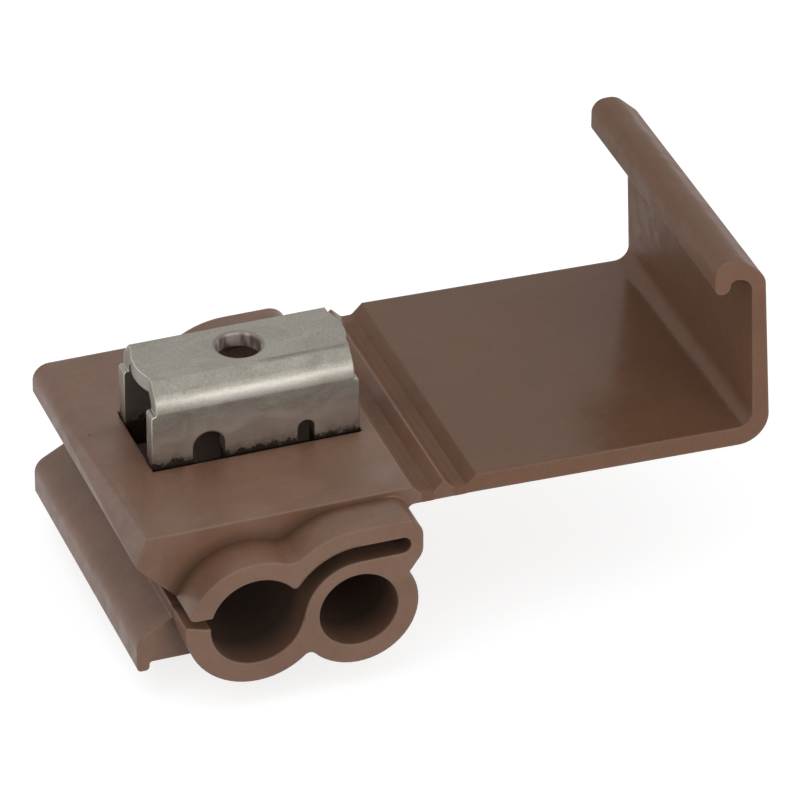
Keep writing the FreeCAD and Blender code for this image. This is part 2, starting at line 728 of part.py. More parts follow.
def check_and_write(bodies):
    """Stop on any failed object, then write one file for each sub-part."""
    doc.recompute()
    for thing in doc.Objects:
        if "Invalid" in thing.State or "Error" in thing.State:
            raise RuntimeError(f"{thing.Name} failed: {thing.State}")
    os.makedirs("parts", exist_ok=True)
    for body in bodies:
        shape = body.Shape
        if shape.isNull() or not shape.isValid() or len(shape.Solids) != 1:
            raise RuntimeError(f"{body.Label} is not one sound solid")
        print(f"{body.Label}: {shape.Volume:.3f} mm3, {len(shape.Faces)} faces")
        shape.exportStep(f"parts/{body.Label}.step")


check_and_write([make_connector_body(), make_hinge_link(), make_latch_cover(), make_contact_clip()])
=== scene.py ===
"""Looks of the quick tap connector: brown moulded plastic and a tin-plated contact.

The scene is in metres. Places and sizes on the moulding and on the contact are in
millimetres, in the CAD frame with the part at rest, and MM turns them into metres.
"""
import json
import math

import bpy
from mathutils import Matrix, Vector


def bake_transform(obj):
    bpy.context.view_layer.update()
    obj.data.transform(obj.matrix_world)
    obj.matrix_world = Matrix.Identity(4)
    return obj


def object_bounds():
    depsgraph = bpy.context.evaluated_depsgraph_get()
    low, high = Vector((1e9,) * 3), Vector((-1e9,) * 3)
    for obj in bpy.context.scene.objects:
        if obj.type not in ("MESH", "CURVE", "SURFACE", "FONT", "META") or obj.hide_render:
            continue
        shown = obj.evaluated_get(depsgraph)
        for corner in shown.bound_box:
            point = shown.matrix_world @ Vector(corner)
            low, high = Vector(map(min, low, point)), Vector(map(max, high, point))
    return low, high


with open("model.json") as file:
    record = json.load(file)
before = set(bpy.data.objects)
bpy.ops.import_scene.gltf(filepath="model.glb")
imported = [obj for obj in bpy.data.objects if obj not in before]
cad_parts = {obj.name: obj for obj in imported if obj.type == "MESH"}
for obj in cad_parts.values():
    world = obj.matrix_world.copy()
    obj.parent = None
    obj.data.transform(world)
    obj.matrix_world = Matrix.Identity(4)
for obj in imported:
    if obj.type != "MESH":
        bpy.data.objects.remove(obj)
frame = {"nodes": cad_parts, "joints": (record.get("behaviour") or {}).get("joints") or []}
cad_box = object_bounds()
nodes = frame["nodes"]
joint_places = {joint["name"]: Vector(joint["pos_m"]) for joint in frame["joints"] if "pos_m" in joint}

MM = 0.001

# The camera that took the photograph, fitted to the object's edges and bores.
CAMERA_PLACE = Vector((-0.085166, -0.262930, 0.186068))
CAMERA_AZIMUTH = math.radians(-20.082)
CAMERA_ELEVATION = math.radians(33.060)
CAMERA_ROLL = math.radians(0.207)
CAMERA_LENS = 307.1
SENSOR_WIDTH = 36.0

# Half the moulding's width along the wires, and the height of the plate's top.
PLATE_HALF_WIDTH = 8.175
PLATE_TOP = 4.42


def add_camera():
    back = Vector((
        math.sin(CAMERA_AZIMUTH) * math.cos(CAMERA_ELEVATION),
        -math.cos(CAMERA_AZIMUTH) * math.cos(CAMERA_ELEVATION),
        math.sin(CAMERA_ELEVATION),
    ))
    level = Vector((0, 0, 1)).cross(back).normalized()
    upright = back.cross(level)
    right = level * math.cos(CAMERA_ROLL) + upright * math.sin(CAMERA_ROLL)
    up = upright * math.cos(CAMERA_ROLL) - level * math.sin(CAMERA_ROLL)
    turn = Matrix((right, up, back)).transposed().to_4x4()
    data = bpy.data.cameras.new("camera")
    data.lens = CAMERA_LENS
    data.sensor_width = SENSOR_WIDTH
    data.clip_start = 0.01
    data.clip_end = 10
    camera = bpy.data.objects.new("camera", data)
    camera.matrix_world = Matrix.Translation(CAMERA_PLACE) @ turn
    bpy.context.scene.collection.objects.link(camera)
    bpy.context.scene.camera = camera


class Graph:
    """Short ways to build a material's nodes."""

    def __init__(self, tree):
        self.tree = tree

    def add(self, kind, settings=None, **inputs):
        node = self.tree.nodes.new(kind)
        for name, value in (settings or {}).items():
            setattr(node, name, value)
        for name, value in inputs.items():
            self.feed(node.inputs[name.replace("_", " ")], value)
        return node

    def feed(self, socket, value):
        """Links a socket, or sets a plain value."""
        if isinstance(value, bpy.types.NodeSocket):
            self.tree.links.new(value, socket)
        else:
            socket.default_value = value

    def math(self, operation, *values):
        node = self.add("ShaderNodeMath", {"operation": operation})
        for socket, value in zip(node.inputs, values):
            self.feed(socket, value)
        return node.outputs[0]

    def times(self, product, *factors):
        """The product of all the values."""
        for factor in factors:
            product = self.math("MULTIPLY", product, factor)
        return product

    def raised(self, value, mask, amount):
        """The value, with the whole amount added where the mask is one."""
        return self.math("ADD", value, self.times(mask, amount))

    def vector(self, operation, *values):
        """A vector, or a number from the operations that give one."""
        node = self.add("ShaderNodeVectorMath", {"operation": operation})
        for socket, value in zip(node.inputs, values):
            self.feed(socket, value)
        gives_number = operation in ("DISTANCE", "DOT_PRODUCT")
        return node.outputs["Value" if gives_number else "Vector"]

    def stretched(self, coordinates, scales):
        return self.vector("MULTIPLY", coordinates, scales)

    def axes(self, vector):
        return self.add("ShaderNodeSeparateXYZ", Vector=vector).outputs

    def ramp(self, value, low, high, low_to=0.0, high_to=1.0):
        """A smooth change from low_to, at low, to high_to, at high."""
        node = self.add("ShaderNodeMapRange", {"interpolation_type": "SMOOTHSTEP"})
        for socket, number in zip(node.inputs, (value, low, high, low_to, high_to)):
            self.feed(socket, number)
        return node.outputs[0]

    def mix(self, factor, first, second):
        node = self.add("ShaderNodeMix", {"data_type": "RGBA"})
        self.feed(node.inputs["Factor"], factor)
        self.feed(node.inputs["A"], first)
        self.feed(node.inputs["B"], second)
        return node.outputs["Result"]

    def tint(self, colour, mask, share, shade):
        """The colour, with that share of the shade in it where the mask is one."""
        return self.mix(self.times(mask, share), colour, shade)

    def noise(self, coordinates, scale, detail=3.0, rough=0.5, distortion=0.0):
        node = self.add(
            "ShaderNodeTexNoise",
            Vector=coordinates, Scale=scale, Detail=detail, Roughness=rough, Distortion=distortion,
        )
        return node.outputs["Fac"]

    def bump(self, strength, depth, height, normal):
        """The normal of a bumped surface, with the bumps' depth in millimetres."""
        node = self.add(
            "ShaderNodeBump",
            Strength=strength, Distance=depth * MM, Height=height, Normal=normal,
        )
        return node.outputs[0]


def new_material(name):
    """A material, its graph, its shader, and object coordinates in millimetres."""
    material = bpy.data.materials.new(name)
    material.use_nodes = True
    graph = Graph(material.node_tree)
    shader = material.node_tree.nodes["Principled BSDF"]
    place = graph.add("ShaderNodeTexCoord").outputs["Object"]
    in_mm = graph.vector("MULTIPLY", place, (1 / MM, 1 / MM, 1 / MM))
    return material, graph, shader, in_mm


BEVEL_SAMPLES = 6


def soft_edges(graph, radius, low, high):
    """A rounded normal for sharp edges, and how near an edge each point is.

    radius is a number or a socket, in metres.
    """
    rounded = graph.add("ShaderNodeBevel", {"samples": BEVEL_SAMPLES}, Radius=radius).outputs[0]
    flat = graph.add("ShaderNodeNewGeometry").outputs["Normal"]
    likeness = graph.vector("DOT_PRODUCT", rounded, flat)
    return rounded, graph.ramp(graph.math("SUBTRACT", 1.0, likeness), low, high)


def facing_axes(graph):
    """The parts of the surface's normal along the object's axes."""
    return graph.axes(graph.add("ShaderNodeTexCoord").outputs["Normal"])


def within(graph, place, low, high, soft):
    """One inside a box, falling to nought over soft millimetres on both sides of its wall."""
    above = graph.vector("SUBTRACT", place, low)
    below = graph.vector("SUBTRACT", high, place)
    nearest = graph.axes(graph.vector("MINIMUM", above, below))
    least = graph.math("MINIMUM", graph.math("MINIMUM", nearest["X"], nearest["Y"]), nearest["Z"])
    return graph.ramp(least, -soft, soft)


def near_spot(graph, place, spot, inner, outer):
    """One within inner millimetres of a spot, falling to nought at outer."""
    return graph.ramp(graph.vector("DISTANCE", place, spot), inner, outer, 1.0, 0.0)


def off_axis(graph, axes, across, up):
    """How far a point lies from an axis along the wires."""
    aside = graph.math("SUBTRACT", axes["X"], across)
    rise = graph.math("SUBTRACT", axes["Z"], up)
    return graph.math("SQRT", graph.math("ADD", graph.times(aside, aside), graph.times(rise, rise)))


# Brown polypropylene, as linear red, green and blue.
BROWN = (0.145, 0.068, 0.036, 1)
LIGHT_BROWN = (0.177, 0.089, 0.049, 1)
RED_BROWN = (0.174, 0.073, 0.039, 1)
MOTTLE_BROWN = (0.108, 0.050, 0.027, 1)
GRAIN_BROWN = (0.100, 0.052, 0.032, 1)
CORNER_SHADE_BROWN = (0.060, 0.028, 0.015, 1)
WORN_AND_HIGHLIGHT_BROWN = (0.265, 0.155, 0.104, 1)
SPECK_BROWN = (0.060, 0.032, 0.022, 1)
PLASTIC_IOR = 1.49

# How far the redder patches' noise is moved, so that it doesn't follow the flow marks.
RED_SHIFT = (31, 7, 3)


def lifted(colour, pale):
    """The colour with pale added to its red, green and blue."""
    red, green, blue, opacity = colour
    return red + pale, green + pale, blue + pale, opacity


def plastic_material(
    name, roughness, specular, seed, flow_share,
    relief=1.0, pale=0.0, rounding=0.17, marks=None, hollow=None,
):
    """Moulded brown polypropylene with flow marks, fine grain, and edges paler from wear and a painted
    highlight.

    seed moves all the patterns, flow_share is the strength of the flow marks, pale lifts
    the three brown tones, relief scales the bumps and rounding is the radius of the edges
    in millimetres. marks(graph, place, colour, rough) gives back a changed colour and
    roughness, and hollow(graph, place) is one in a hollow corner, which gets painted shade
    and no pale edge.
    """
    material, graph, shader, place = new_material(name)
    shifted = graph.vector("ADD", place, (seed, 2 * seed, 3 * seed))
    deep = hollow(graph, place) if hollow else 0.0
    radius = graph.ramp(deep, 0.0, 0.5, rounding * MM, 0.0) if hollow else rounding * MM
    rounded, edge = soft_edges(graph, radius, low=0.004, high=0.09)

    flow_place = graph.stretched(shifted, (0.55, 1.0, 0.8))
    flow = graph.noise(flow_place, scale=0.34, distortion=1.0)
    red = graph.noise(graph.vector("ADD", shifted, RED_SHIFT), scale=0.26, distortion=0.6)
    mottle = graph.noise(shifted, scale=3.0, detail=4.0, rough=0.62)
    grain = graph.noise(shifted, scale=15.0, rough=0.65)
    specks = graph.noise(shifted, scale=4.6, detail=1.0, rough=0.4)

    flow = graph.ramp(flow, 0.34, 0.66, 0.5 - flow_share / 2, 0.5 + flow_share / 2)
    colour = graph.mix(flow, lifted(BROWN, pale), lifted(LIGHT_BROWN, pale))
    colour = graph.mix(graph.ramp(red, 0.46, 0.70, 0.0, 0.55), colour, lifted(RED_BROWN, pale))
    colour = graph.mix(graph.ramp(mottle, 0.32, 0.75, 0.0, 0.24), colour, MOTTLE_BROWN)
    colour = graph.mix(graph.ramp(grain, 0.55, 0.80, 0.0, 0.18), colour, GRAIN_BROWN)
    if hollow:
        # Painted shade in the hollow corner where the tubes meet the plate's end faces.
        colour = graph.tint(colour, deep, 0.55, CORNER_SHADE_BROWN)
    # Edges are paler: partly wear, partly a painted highlight.
    colour = graph.tint(colour, edge, 0.55, WORN_AND_HIGHLIGHT_BROWN)
    colour = graph.mix(graph.ramp(specks, 0.80, 0.85, 0.0, 0.55), colour, SPECK_BROWN)

    patch_place = graph.stretched(shifted, (0.7, 1.2, 1.0))
    patches = graph.noise(patch_place, scale=0.8, detail=4.0, rough=0.6, distortion=0.8)
    rough = graph.ramp(patches, 0.30, 0.72, roughness - 0.05, roughness + 0.07)
    if marks:
        colour, rough = marks(graph, place, colour, rough)
    graph.feed(shader.inputs["Base Color"], colour)
    graph.feed(shader.inputs["Roughness"], rough)
    shader.inputs["IOR"].default_value = PLASTIC_IOR
    shader.inputs["Specular IOR Level"].default_value = specular

    wave_place = graph.stretched(shifted, (0.6, 1.0, 1.0))
    waves = graph.noise(wave_place, scale=0.7, detail=2.0, distortion=0.5)
    wavy = graph.bump(0.35 * relief, depth=0.025, height=waves, normal=rounded)
    grainy = graph.bump(0.35 * relief, depth=0.005, height=grain, normal=wavy)
    graph.feed(shader.inputs["Normal"], grainy)
    return material


# The body's bores, and how their painted shade fades towards the mouths, past the walls and
# before the tap bore's stop. Here and below, a fade is a pair: where it starts and where it ends.
RUN_RADIUS = 2.35
TAP_ACROSS = 5.125
TAP_HEIGHT = -0.474
TAP_RADIUS = 2.00
MOUTH_FADE = (8.0, 10.45)
WALL_FADE = (0.02, 0.06)
STOP_FADE = (8.6, 8.8)

# The slit between the jaws: round the tap tube above its middle, then straight to its end.
SLIT_INNER = 2.66
SLIT_OUTER = 3.66
SLIT_BEND_BOX = ((-1, -11, -0.6), (5.2, 11, 4))
SLIT_END_BOX = ((4.6, -10.32, 2.20), (7.82, 9.72, 3.19))

# The contact's slot in the upper jaw, up to just under the plate's top, where shade is painted.
SLOT_BOX = ((-2.74, -2.85, 2.0), (8.06, 2.85, 4.34))

# The outer forms of both tubes, and the corner that they make with the plate's end faces, which gets
# painted shade.
ARCH_HEIGHT = -0.20
ARCH_RADIUS = 3.50
SHOULDER_RADIUS = 4.57
CORNER_REACH = 0.85
END_FACE_FADE = (-0.06, -0.02)
CORNER_TOP_FADE = (4.38, 4.0)

# The body's own tones, and the patches on the plate's top.
# Each patch has its place, inner and outer reach, share and shade.
PATCH_RED = (0.188, 0.092, 0.055, 1)
PATCH_GREY = (0.215, 0.140, 0.102, 1)
FLECK_BLACK = (0.035, 0.020, 0.014, 1)
SLOT_SHADE_BLACK = (0.034, 0.023, 0.018, 1)
BORE_SHADE_BLACK = (0.034, 0.021, 0.015, 1)
PATCHES = [
    ((3.2, -4.9, PLATE_TOP), 0.6, 3.4, 0.30, PATCH_RED),
    ((-3.0, -6.9, PLATE_TOP), 0.2, 1.9, 0.40, PATCH_GREY),
    ((7.6, -6.6, PLATE_TOP), 0.2, 1.3, 0.40, PATCH_GREY),
    ((0.7, -7.7, PLATE_TOP), 0.2, 1.7, 0.40, PATCH_GREY),
    ((-4.55, 1.3, PLATE_TOP), 0.05, 0.13, 0.75, FLECK_BLACK),
]


def bore_inside(graph, axes, across, up, radius):
    """One on and inside a bore along the wires, nought just outside its wall."""
    start, end = WALL_FADE
    return graph.ramp(off_axis(graph, axes, across, up), radius + start, radius + end, 1.0, 0.0)


def bore_shade(graph, place):
    """How much painted shade a point gets: most deep in the bores and the slit, less at their mouths.
    """
    axes = graph.axes(place)
    depth = graph.ramp(graph.math("ABSOLUTE", axes["Y"]), *MOUTH_FADE, 0.75, 0.22)
    run = bore_inside(graph, axes, 0.0, 0.0, RUN_RADIUS)
    tap = bore_inside(graph, axes, TAP_ACROSS, TAP_HEIGHT, TAP_RADIUS)
    tap = graph.times(tap, graph.ramp(axes["Y"], *STOP_FADE, 1.0, 0.0))
    bores = graph.times(graph.math("MAXIMUM", run, tap), depth)

    outer = bore_inside(graph, axes, TAP_ACROSS, TAP_HEIGHT, SLIT_OUTER)
    inner = bore_inside(graph, axes, TAP_ACROSS, TAP_HEIGHT, SLIT_INNER)
    slit_bend = within(graph, place, *SLIT_BEND_BOX, soft=0.2)
    slit = graph.times(graph.math("SUBTRACT", outer, inner), slit_bend)
    slit = graph.math("MAXIMUM", slit, within(graph, place, *SLIT_END_BOX, soft=0.02))
    slit = graph.times(slit, graph.math("MAXIMUM", depth, 0.45))
    return graph.math("MAXIMUM", bores, slit)


def body_marks(graph, place, colour, rough):
    """Patches on the plate's top, and painted shade in the contact's slot, the bores and the slit."""
    for spot, inner, outer, share, shade in PATCHES:
        colour = graph.tint(colour, near_spot(graph, place, spot, inner, outer), share, shade)
    # Painted shade deep in the contact's slot.
    slot = within(graph, place, *SLOT_BOX, soft=0.05)
    colour = graph.tint(colour, slot, 0.84, SLOT_SHADE_BLACK)
    # Painted shade deep in the bores and the slit, lighter at their mouths.
    inside = bore_shade(graph, place)
    colour = graph.mix(inside, colour, BORE_SHADE_BLACK)
    return colour, graph.raised(graph.raised(rough, slot, 0.30), inside, 0.35)


def tube_corner_shade(graph, place):
    """Where shade is painted: one in the hollow corner where the tubes grow out of the plate's end
    faces.
    """
    axes = graph.axes(place)
    from_run = off_axis(graph, axes, 0.0, ARCH_HEIGHT)
    from_tap = off_axis(graph, axes, TAP_ACROSS, TAP_HEIGHT)
    from_arch = graph.math("SUBTRACT", from_run, ARCH_RADIUS)
    from_shoulder = graph.math("SUBTRACT", from_tap, SHOULDER_RADIUS)
    along_face = graph.math("MAXIMUM", graph.math("MINIMUM", from_arch, from_shoulder), 0.0)
    off_face = graph.math("SUBTRACT", graph.math("ABSOLUTE", axes["Y"]), PLATE_HALF_WIDTH)
    gap = graph.math("ADD", along_face, graph.math("MAXIMUM", off_face, 0.0))
    near_corner = graph.ramp(gap, 0.0, CORNER_REACH, 1.0, 0.0)
    on_end = graph.ramp(off_face, *END_FACE_FADE)
    return graph.times(near_corner, on_end, graph.ramp(axes["Z"], *CORNER_TOP_FADE))


# The cover: how high its lid's polish reaches, and where its hook starts.
LID_FADE = (8.0, 6.0)
HOOK_FADE = (11.2, 12.0)
UPWARD_SHADE_BROWN = (0.090, 0.046, 0.025, 1)
HOOK_PALE = (0.240, 0.170, 0.130, 1)


def cover_marks(graph, place, colour, rough):
    """Upward faces get painted shade and the lid's upper face is smoother; the hook and the wall's
    inside are duller.
    """
    facing = facing_axes(graph)
    height = graph.axes(place)["Z"]
    upward = graph.ramp(facing["Z"], 0.55, 0.90)
    inward = graph.ramp(facing["X"], -0.30, -0.75)
    hook = graph.ramp(height, *HOOK_FADE)
    # Painted shade on the cover's upward faces.
    colour = graph.tint(colour, upward, 0.30, UPWARD_SHADE_BROWN)
    colour = graph.tint(colour, hook, 0.12, HOOK_PALE)
    lid = graph.times(upward, graph.ramp(height, *LID_FADE))
    dull = graph.math("MAXIMUM", graph.times(inward, 0.22), graph.times(hook, 0.18))
    return colour, graph.math("ADD", graph.raised(rough, lid, -0.10), dull)


# The webs' folds, which get painted shade.
FOLD_SHADE_BROWN = (0.090, 0.040, 0.020, 1)


def fold_shade(graph, place, colour, rough):
    """The webs get painted shade along their folds."""
    groove = graph.add("ShaderNodeAttribute", {"attribute_name": "groove"}).outputs["Fac"]
    return graph.tint(colour, groove, 0.40, FOLD_SHADE_BROWN), rough


# The raised contact: its middle and its bent edges, and fades off its bends and its middle.
CLIP_MIDDLE = 2.66
BEND_LINE = (0, 2.42, 7.72)
BEND_FADE = (0.08, 0.50)
BEND_END_FADE = (1.6, 4.4)
WORN_FADE = (3.2, 4.9)
BRASS_FADE = (1.4, 3.4)

# The crease of its facet, with fades off the crease and along X.
CREASE_ASIDE = -1.72
CREASE_FADE = (0.03, 0.17)
CREASE_START_FADE = (2.2, 4.2)

# Fades of its sheared ends along X, and of its legs and the painted shade at their base in height.
SHEARED_FADE = (-2.2, -2.55)
LEG_FADE = (7.3, 5.6)
BROWN_SHADE_FADE = (4.50, 5.20)
BASE_SHADE_FADE = (4.48, 4.74)

# Fades of its hole's rim and wall off the hole's middle, and of the wall in height.
RIM_FADE = (1.22, 1.32)
HOLE_FADE = (1.11, 1.17)
HOLE_BASE_FADE = (8.02, 8.12)

# Tin plate over brass, as linear red, green and blue.
TIN_DARK = (0.250, 0.228, 0.194, 1)
TIN_LIGHT = (0.318, 0.300, 0.258, 1)
TIN_GREEN = (0.262, 0.266, 0.224, 1)
TIN_PIT = (0.150, 0.138, 0.118, 1)
TIN_GRAIN = (0.460, 0.440, 0.410, 1)
TIN_STREAK = (0.200, 0.178, 0.152, 1)
TIN_EDGE = (0.600, 0.570, 0.530, 1)
TIN_RUBBED_AND_HIGHLIGHT = (0.900, 0.870, 0.830, 1)
TIN_LEG_TONE_AND_LIGHT = (0.500, 0.425, 0.370, 1)
TIN_BEND_HIGHLIGHT = (0.640, 0.580, 0.550, 1)
TIN_WORN = (0.215, 0.195, 0.165, 1)
TIN_CREASE = (0.105, 0.075, 0.062, 1)
BRASS_PALE = (0.900, 0.680, 0.560, 1)
RIM_BROWN = (0.145, 0.118, 0.100, 1)
HOLE_REFLECTION_DARK = (0.220, 0.180, 0.155, 1)
HOLE_REFLECTION_PALE = (0.500, 0.440, 0.400, 1)
BASE_SHADE_BROWN = (0.120, 0.078, 0.055, 1)
BASE_SHADE_BLACK = (0.030, 0.017, 0.012, 1)

# How far the greener patches' noise is moved, so that it doesn't follow the clouds.
HUE_SHIFT = (5, 9, 2)


def tin_tones(graph, place, cloud, grain, streak):
    """Dull tin in clouds, greener in places, with dark pits, bright grains and dark streaks."""
    hue_place = graph.vector("ADD", place, HUE_SHIFT)
    hue = graph.noise(hue_place, scale=0.45, rough=0.55, distortion=0.6)
    colour = graph.mix(graph.ramp(cloud, 0.32, 0.68), TIN_DARK, TIN_LIGHT)
    colour = graph.mix(graph.ramp(hue, 0.40, 0.62, 0.0, 0.50), colour, TIN_GREEN)
    colour = graph.mix(graph.ramp(grain, 0.30, 0.50, 0.45, 0.0), colour, TIN_PIT)
    colour = graph.mix(graph.ramp(grain, 0.50, 0.72, 0.0, 0.50), colour, TIN_GRAIN)
    return graph.mix(graph.ramp(streak, 0.55, 0.75, 0.0, 0.28), colour, TIN_STREAK)


def tin_wear_and_highlights(graph, place, colour, edge, cloud):
    """Rubbed edges, painted highlights on the bends and sheared ends, the legs' tones and painted
    light, and the crease of the facet.
    """
    axes = graph.axes(place)
    off_middle = graph.math("ABSOLUTE", graph.math("SUBTRACT", axes["X"], CLIP_MIDDLE))
    colour = graph.tint(colour, edge, 0.45, TIN_EDGE)

    # The sheared ends away from the hinge are rubbed bright at their corners, and get a painted
    # highlight there.
    sheared = graph.times(edge, graph.ramp(axes["X"], *SHEARED_FADE))
    colour = graph.tint(colour, sheared, 0.70, TIN_RUBBED_AND_HIGHLIGHT)

    # The legs are a little warmer than the top, and painted paler for the light they catch.
    colour = graph.tint(colour, graph.ramp(axes["Z"], *LEG_FADE), 0.62, TIN_LEG_TONE_AND_LIGHT)

    # The bends along both long edges get a painted highlight, most of all in their middle.
    # Seen along X, with one side laid over the other, both are at one point.
    section = graph.vector("ABSOLUTE", graph.vector("MULTIPLY", place, (0, 1, 1)))
    bend = graph.ramp(graph.vector("DISTANCE", section, BEND_LINE), *BEND_FADE, 1.0, 0.0)
    bend = graph.times(bend, graph.ramp(off_middle, *BEND_END_FADE, 0.36, 0.08))
    colour = graph.mix(bend, colour, TIN_BEND_HIGHLIGHT)

    # Both ends are a little darker.
    colour = graph.mix(graph.ramp(off_middle, *WORN_FADE, 0.0, 0.08), colour, TIN_WORN)

    # The crease between the flat top and the facet is browner towards the hinge.
    off_crease = graph.math("ABSOLUTE", graph.math("SUBTRACT", axes["Y"], CREASE_ASIDE))
    crease = graph.times(
        graph.ramp(off_crease, *CREASE_FADE, 1.0, 0.0),
        graph.ramp(axes["X"], *CREASE_START_FADE, 0.0, 0.55),
        graph.ramp(cloud, 0.35, 0.55, 0.55, 1.0),
    )
    colour = graph.mix(crease, colour, TIN_CREASE)

    # The legs' inner faces look towards the contact's middle and have a pale brass tone.
    inward = graph.ramp(graph.times(facing_axes(graph)["Y"], axes["Y"]), -1.2, -1.8)
    inward = graph.times(inward, graph.ramp(off_middle, *BRASS_FADE, 0.85, 0.0))
    return graph.mix(inward, colour, BRASS_PALE)


def punched_hole(graph, place, colour):
    """The colour with the hole's browner rim and a painted streaky reflection on its wall, and one on
    that wall.
    """
    level_place = graph.vector("MULTIPLY", place, (1, 1, 0))
    off_hole = graph.vector("DISTANCE", level_place, (CLIP_MIDDLE, 0, 0))
    colour = graph.mix(graph.ramp(off_hole, *RIM_FADE, 0.55, 0.0), colour, RIM_BROWN)
    wall = graph.ramp(off_hole, *HOLE_FADE, 1.0, 0.0)
    wall = graph.times(wall, graph.ramp(graph.axes(place)["Z"], *HOLE_BASE_FADE))
    strokes = graph.noise(graph.stretched(place, (1.0, 1.0, 0.3)), scale=1.8, detail=2.0)
    # Painted streaky reflection on the hole's wall.
    tone = graph.mix(graph.ramp(strokes, 0.40, 0.62), HOLE_REFLECTION_DARK, HOLE_REFLECTION_PALE)
    return graph.mix(wall, colour, tone), wall


def base_shade(graph, place, colour):
    """The colour with painted shade at the legs' base, brown above and nearly black at the plate, and
    its mask.
    """
    ragged = graph.noise(place, scale=1.5, detail=5.0, rough=0.70, distortion=0.2)
    shift = graph.times(graph.math("SUBTRACT", ragged, 0.5), -1.5)
    level = graph.math("ADD", graph.axes(place)["Z"], shift)
    colour = graph.mix(graph.ramp(level, *BROWN_SHADE_FADE, 0.50, 0.0), colour, BASE_SHADE_BROWN)
    shaded_base = graph.ramp(level, *BASE_SHADE_FADE, 0.95, 0.0)
    return graph.mix(shaded_base, colour, BASE_SHADE_BLACK), shaded_base


def contact_material():
    """Dull tin over brass: fine grain, painted highlights on the bends and painted shade round the
    base.
    """
    material, graph, shader, place = new_material("tin_plate")
    rounded, edge = soft_edges(graph, 0.10 * MM, low=0.020, high=0.16)
    grain = graph.noise(place, scale=9.0, detail=5.0, rough=0.75)
    cloud_place = graph.stretched(place, (0.6, 1.0, 1.0))
    cloud = graph.noise(cloud_place, scale=0.70, detail=4.0, rough=0.6, distortion=0.8)
    streak = graph.noise(graph.stretched(place, (0.5, 5.0, 5.0)), scale=1.6, rough=0.6)

    colour = tin_tones(graph, place, cloud, grain, streak)
    colour = tin_wear_and_highlights(graph, place, colour, edge, cloud)
    colour, hole_wall = punched_hole(graph, place, colour)
    colour, shaded_base = base_shade(graph, place, colour)
    graph.feed(shader.inputs["Base Color"], colour)
    shader.inputs["Metallic"].default_value = 1.0

    rough = graph.ramp(cloud, 0.30, 0.70, 0.36, 0.46)
    rough = graph.raised(rough, shaded_base, 0.35)
    graph.feed(shader.inputs["Roughness"], graph.raised(rough, hole_wall, 0.35))

    grainy = graph.bump(0.70, depth=0.012, height=grain, normal=rounded)
    streaky = graph.bump(0.25, depth=0.008, height=streak, normal=grainy)
    graph.feed(shader.inputs["Normal"], streaky)
    return material


def dress(node, material):
    mesh = nodes[node].data
    mesh.materials.clear()
    mesh.materials.append(material)


dress("connector_body", plastic_material(
    "body_plastic", roughness=0.42, specular=0.50, seed=0.0, flow_share=1.0,
    pale=0.013, marks=body_marks, hollow=tube_corner_shade,
))
dress("hinge_link", plastic_material(
    "link_plastic", roughness=0.38, specular=0.35, seed=0.0, flow_share=0.8, pale=0.010,
))
dress("latch_cover", plastic_material(
    "cover_plastic", roughness=0.30, specular=0.20, seed=17.0, flow_share=0.35,
    relief=0.5, pale=0.0105, marks=cover_marks,
))
dress("contact_clip", contact_material())


def new_piece(name, points, faces, material):
    """A piece from points in millimetres, smooth above and below and flat at its sides."""
    mesh = bpy.data.meshes.new(name)
    mesh.from_pydata([point * MM for point in points], [], faces)
    mesh.update()
    for face in mesh.polygons:
        face.use_smooth = abs(face.normal.z) > 0.5
    mesh.materials.append(material)
    piece = bpy.data.objects.new(name, mesh)
    bpy.context.scene.collection.objects.link(piece)
    return piece


def swept_faces(count, ring):
    """Faces of a closed section swept through count places, with both ends closed."""
    faces = []
    for step in range(count - 1):
        for side in range(ring):
            following = (side + 1) % ring
            first = step * ring
            second = first + ring
            faces.append((first + side, first + following, second + following, second + side))
    faces.append(tuple(reversed(range(ring))))
    faces.append(tuple(range((count - 1) * ring, count * ring)))
    return faces


# Webs: the thin plastic that bends at each fold, over the split in the solids.
# Each has the web's thickness plus a skin, and rises into the groove's two slopes.
WEB_HALF = 0.21
WEB_SKIN = 0.008
WEB_REACH = 0.305
SLOPE_START = 0.17
SLOPE_RISE = 0.050
WEB_STEPS = 16
WEB_PLACES = 24


def web_section():
    """The web's upper and lower line, each as places across the fold and heights."""
    upper = []
    lower = []
    for step in range(WEB_STEPS + 1):
        across = WEB_REACH * (2 * step / WEB_STEPS - 1)
        climb = max(0.0, (abs(across) - SLOPE_START) / (WEB_REACH - SLOPE_START))
        upper.append((across, WEB_HALF + WEB_SKIN + SLOPE_RISE * climb ** 2))
        lower.append((across, -WEB_HALF - WEB_SKIN * (1 - (across / WEB_REACH) ** 4)))
    return upper, lower


def web_piece(name, joint, material):
    """A straight web along one fold, between the first body and the second."""
    centre = joint_places[joint] / MM
    upper, lower = web_section()
    section = upper + lower[::-1]
    reach = PLATE_HALF_WIDTH + WEB_SKIN
    points = []
    for place in range(WEB_PLACES + 1):
        along = reach * (2 * place / WEB_PLACES - 1)
        points += [Vector((centre.x + across, along, centre.z + up)) for across, up in section]
    piece = new_piece(name, points, swept_faces(WEB_PLACES + 1, len(section)), material)

    # How much painted shade the groove gets: one along the fold, nought at its sides, at its ends and
    # below.
    groove = piece.data.attributes.new("groove", "FLOAT", "POINT")
    for number, value in enumerate(groove.data):
        side = number % len(section)
        on_top = side < len(upper)
        inland = 0 < number // len(section) < WEB_PLACES
        value.value = 1 - (upper[side][0] / WEB_REACH) ** 2 if on_top and inland else 0.0
    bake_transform(piece)


